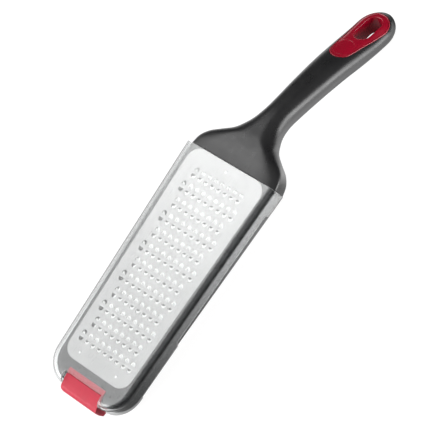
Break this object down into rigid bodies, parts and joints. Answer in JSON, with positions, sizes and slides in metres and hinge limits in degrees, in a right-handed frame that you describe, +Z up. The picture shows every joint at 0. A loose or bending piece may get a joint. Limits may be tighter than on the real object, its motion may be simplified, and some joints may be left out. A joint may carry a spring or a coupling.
{
  "type": "hand grater",
  "caption": "Hand grater with a tapered two-way steel plate in a dark frame, a curved soft handle with a red slotted inlay, a red foot and a clear slide-on cover.",
  "frame": {"origin": "on the table under the middle of the tool, as it lies on its foot and handle tip with the plate up", "axes": "+X from the foot to the handle, +Y to the left seen from the foot, +Z up"},
  "size_m": [0.3412, 0.0848, 0.0432],
  "materials": {
    "frame_plastic": "satin black",
    "plate_steel": "satin stainless",
    "grip_soft": "soft-touch charcoal",
    "inlay_red": "gloss deep red",
    "foot_red": "matte red",
    "cover_clear": "clear"
  },
  "bodies": {
    "grater": {"head_frame": "frame_plastic", "grating_plate": "plate_steel", "handle_grip": "grip_soft", "end_insert": "inlay_red", "front_foot": "foot_red"},
    "cover": {"blade_cover": "cover_clear"}
  },
  "joints": [
    {"name": "cover_slide", "type": "slide", "parent": "grater", "child": "cover", "axis": [-0.9893, 0, -0.1461], "range_m": [0, 0.19]}
  ]
}
